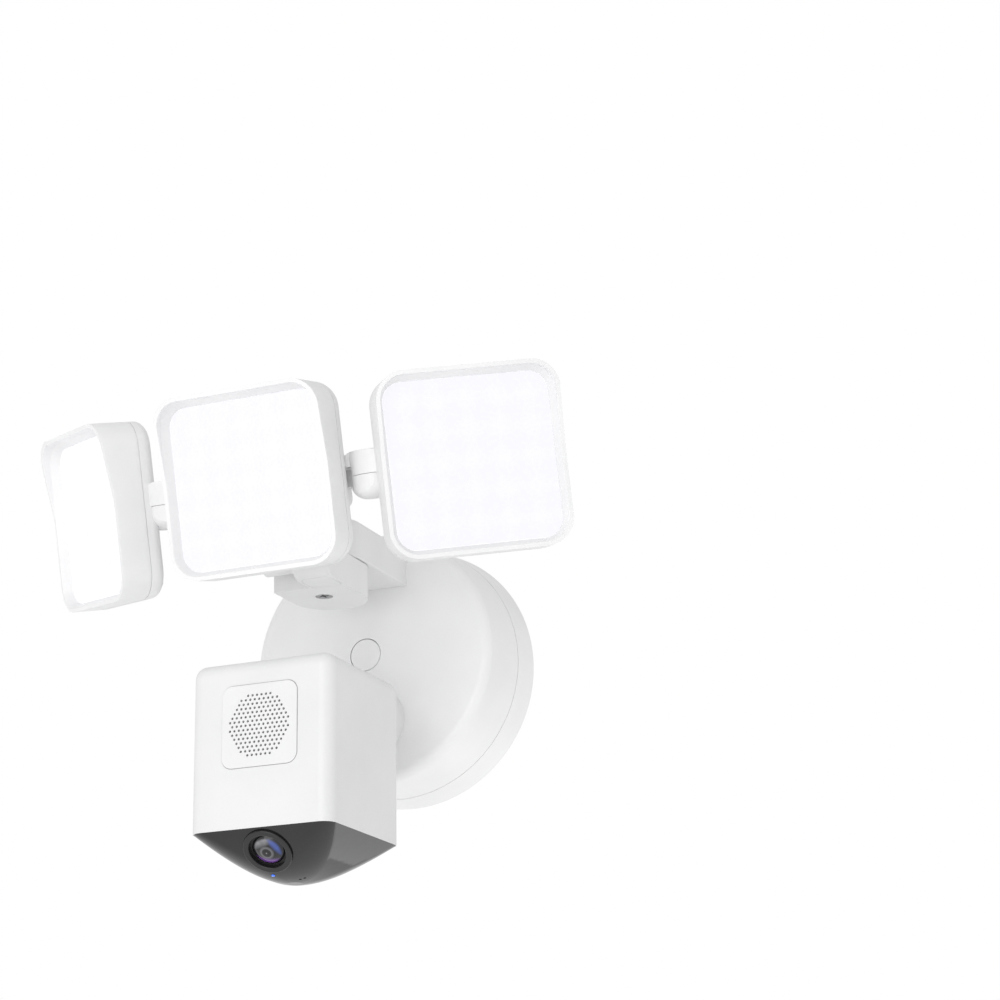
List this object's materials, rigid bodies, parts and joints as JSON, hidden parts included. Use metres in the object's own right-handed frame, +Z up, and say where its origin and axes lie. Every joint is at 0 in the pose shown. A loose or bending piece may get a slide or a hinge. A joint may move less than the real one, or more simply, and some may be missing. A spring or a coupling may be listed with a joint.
{
  "type": "floodlight security camera",
  "caption": "Wall-mounted security camera under a bar of square floodlight panels on a round base. Panels swing and tilt, the camera pans and tilts, and the base has a push button.",
  "frame": {"origin": "centre of the round base's rear face, on the wall", "axes": "+Y into the wall, so the lights and camera face -Y; +X to the right seen from the front; +Z up"},
  "size_m": [0.2723, 0.1921, 0.2245],
  "materials": {
    "white_plastic": "fine satin, UV-stable white",
    "opal_lens": "opal diffuser, lit",
    "steel_screws": "zinc plated",
    "steel_pins": "turned",
    "rubber_seal": "matt foam rubber",
    "circuit_board": "green solder mask",
    "led_board_white": "white solder mask",
    "led_chips": "phosphor, lit",
    "transformer_core": "yellow tape over ferrite",
    "capacitor_can": "sleeved can",
    "terminal_plastic": "moulded",
    "black_plastic": "fine grain",
    "black_gloss": "polished",
    "lens_glass": "coated glass",
    "blue_light": "lit"
  },
  "bodies": {
    "base": {"wall_gasket": "rubber_seal", "mounting_plate": "white_plastic", "base_cover": "white_plastic", "base_screws": "steel_screws", "power_board": "circuit_board", "transformer": "transformer_core", "capacitors": "capacitor_can", "terminal_block": "terminal_plastic", "button_switch": "black_plastic", "light_arm": "white_plastic", "bracket_screws": "steel_screws", "pan_screw": "steel_screws", "camera_socket": "white_plastic", "camera_pan_pin": "steel_pins"},
    "button": {"base_button": "white_plastic"},
    "light_swivel": {"swivel_block": "white_plastic", "lug_cover": "white_plastic", "tilt_bolt": "steel_screws"},
    "light_head": {"light_bar": "white_plastic", "bar_screws": "steel_screws", "centre_housing": "white_plastic", "centre_lens": "opal_lens", "centre_led_board": "led_board_white", "centre_leds": "led_chips", "centre_back_shell": "white_plastic", "centre_panel_screws": "steel_screws", "left_hinge_arm": "white_plastic", "right_hinge_arm": "white_plastic"},
    "left_light": {"left_housing": "white_plastic", "left_lens": "opal_lens", "left_led_board": "led_board_white", "left_leds": "led_chips", "left_back_shell": "white_plastic", "left_panel_screws": "steel_screws", "left_socket_cap": "white_plastic", "left_socket_base": "white_plastic", "left_hinge_pin": "steel_pins"},
    "right_light": {"right_housing": "white_plastic", "right_lens": "opal_lens", "right_led_board": "led_board_white", "right_leds": "led_chips", "right_back_shell": "white_plastic", "right_panel_screws": "steel_screws", "right_socket_cap": "white_plastic", "right_socket_base": "white_plastic", "right_hinge_pin": "steel_pins"},
    "camera_pan_arm": {"camera_swivel": "white_plastic"},
    "camera": {"camera_housing": "white_plastic", "camera_rear_cover": "white_plastic", "rear_cover_screws": "steel_screws", "camera_tilt_bolt": "steel_screws", "speaker_grille": "white_plastic", "speaker": "black_plastic", "main_board": "circuit_board", "camera_visor": "black_gloss", "lens_ring": "black_gloss", "lens_barrel": "black_plastic", "lens_glass": "lens_glass", "inner_lens": "lens_glass", "status_light": "blue_light"}
  },
  "joints": [
    {"name": "button_press", "type": "slide", "parent": "base", "child": "button", "axis": [0, 1, 0], "range_m": [0, 0.001], "stiffness_N_per_m": 400, "springref_m": -0.0005},
    {"name": "head_pan", "type": "hinge", "parent": "base", "child": "light_swivel", "pos_m": [0, -0.098, 0.034], "axis": [0, 0, 1], "range_deg": [-30, 30]},
    {"name": "head_tilt", "type": "hinge", "parent": "light_swivel", "child": "light_head", "pos_m": [0, -0.122, 0.03], "axis": [1, 0, 0], "range_deg": [-25, 15]},
    {"name": "left_light_swing", "type": "hinge", "parent": "light_head", "child": "left_light", "pos_m": [-0.05353, -0.14669, 0.05578], "axis": [0, -0.2556, 0.9668], "range_deg": [-16, 26.5]},
    {"name": "right_light_swing", "type": "hinge", "parent": "light_head", "child": "right_light", "pos_m": [0.05353, -0.14669, 0.05578], "axis": [0, -0.2556, 0.9668], "range_deg": [-21.5, 21]},
    {"name": "camera_pan", "type": "hinge", "parent": "base", "child": "camera_pan_arm", "pos_m": [0, -0.058, -0.0316], "axis": [0, 0, 1], "range_deg": [-30, 30]},
    {"name": "camera_tilt", "type": "hinge", "parent": "camera_pan_arm", "child": "camera", "pos_m": [0, -0.079, -0.04], "axis": [1, 0, 0], "range_deg": [-10, 25]}
  ]
}
